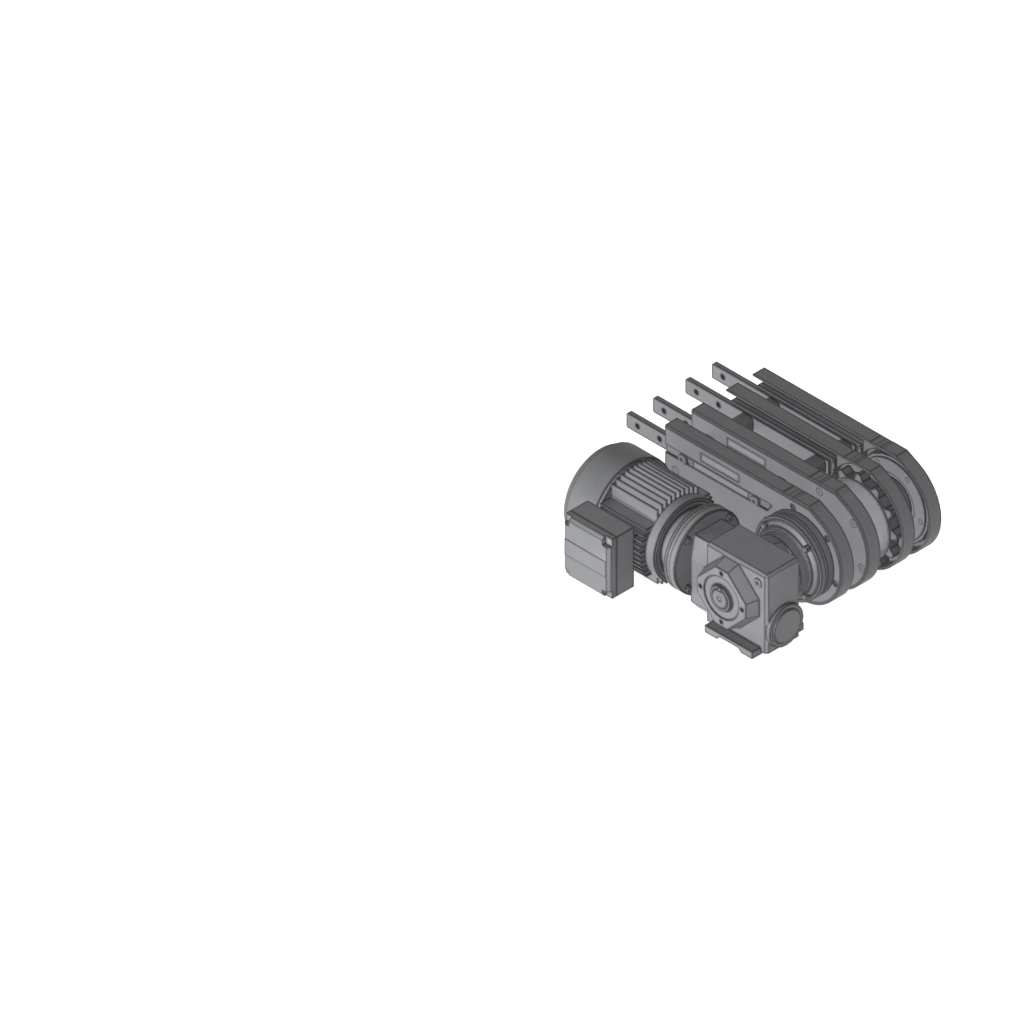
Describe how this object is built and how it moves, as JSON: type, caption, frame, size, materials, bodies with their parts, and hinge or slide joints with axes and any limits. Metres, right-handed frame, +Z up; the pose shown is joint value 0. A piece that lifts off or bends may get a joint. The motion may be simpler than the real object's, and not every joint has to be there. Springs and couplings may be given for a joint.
{
  "type": "conveyor head drive unit",
  "caption": "Chain conveyor head drive: side halves with slide rails, toothed drum on a cross shaft and a worm gearmotor.",
  "frame": {"origin": "bottom centre of the bounding box; the head shaft's axis passes through x 0.1114, z 0.0665", "axes": "+X along the conveyor towards the head, +Y across the track away from the gearmotor, +Z up"},
  "size_m": [0.3556, 0.3522, 0.1393],
  "materials": {
    "plate": "satin machined die casting",
    "rail": "low-friction slide plastic, faintly scuffed along the run",
    "spacer": "satin extruded block",
    "steel": "turned and zinc-plated steel",
    "polymer": "moulded polyamide",
    "casting": "turned casting",
    "bearing": "ground bearing steel",
    "paint": "fine-textured grey machine paint over cast metal",
    "bronze": "machined bronze",
    "seal": "moulded black elastomer or thermoset",
    "core": "stacked steel laminations"
  },
  "bodies": {
    "frame": {"side_plate_1": "plate", "side_plate_2": "plate", "side_plate_3": "plate", "side_plate_4": "plate", "slide_rail_1": "rail", "slide_rail_2": "rail", "slide_rail_3": "rail", "slide_rail_4": "rail", "turn_rail_1": "rail", "turn_rail_2": "rail", "turn_rail_3": "rail", "turn_rail_4": "rail", "connector_bar_1": "plate", "connector_bar_2": "plate", "connector_bar_3": "plate", "connector_bar_4": "plate", "cross_spacer_1a": "spacer", "cross_spacer_1b": "spacer", "cross_spacer_2a": "spacer", "cross_spacer_2b": "spacer", "cross_spacer_3a": "spacer", "cross_spacer_3b": "spacer", "tie_bolt_1": "steel", "tie_bolt_2": "steel", "slot_strip": "polymer", "bearing_housing_1": "casting", "bearing_housing_2": "casting", "head_bearing_1": "bearing", "head_bearing_2": "bearing", "adapter_flange": "casting", "gear_housing": "paint", "end_cap": "paint", "output_bearing_1": "bearing", "output_bearing_2": "bearing", "shaft_seal_1": "seal", "shaft_seal_2": "seal", "worm_bearing_1": "bearing", "worm_bearing_2": "bearing", "input_flange": "paint", "motor_flange": "paint", "motor_bearing_1": "bearing", "motor_bearing_2": "bearing", "stator_housing": "paint", "stator_core": "core", "rear_shield": "paint", "fan_cover": "paint", "terminal_box": "paint", "terminal_lid": "paint", "terminal_block": "seal"},
    "output": {"drive_shaft": "steel", "drum": "polymer", "sprocket_ring_1": "polymer", "sprocket_ring_2": "polymer", "hollow_shaft": "steel", "worm_wheel": "bronze"},
    "worm": {"worm_shaft": "steel", "input_gear": "steel"},
    "rotor": {"motor_shaft": "steel", "rotor_core": "core", "fan": "polymer"}
  },
  "joints": [
    {"name": "output_spin", "type": "hinge", "parent": "frame", "child": "output", "pos_m": [0.11135, 0.09465, 0.06648], "axis": [0, 1, 0], "continuous": true},
    {"name": "worm_spin", "type": "hinge", "parent": "frame", "child": "worm", "pos_m": [0.11135, -0.06915, 0.03547], "axis": [1, 0, 0], "continuous": true},
    {"name": "rotor_spin", "type": "hinge", "parent": "frame", "child": "rotor", "pos_m": [-0.05, -0.06915, 0.07447], "axis": [1, 0, 0], "continuous": true}
  ],
  "couplings": [
    {"joint": "worm_spin", "follows": "output_spin", "ratio": 22},
    {"joint": "rotor_spin", "follows": "output_spin", "ratio": -30}
  ]
}
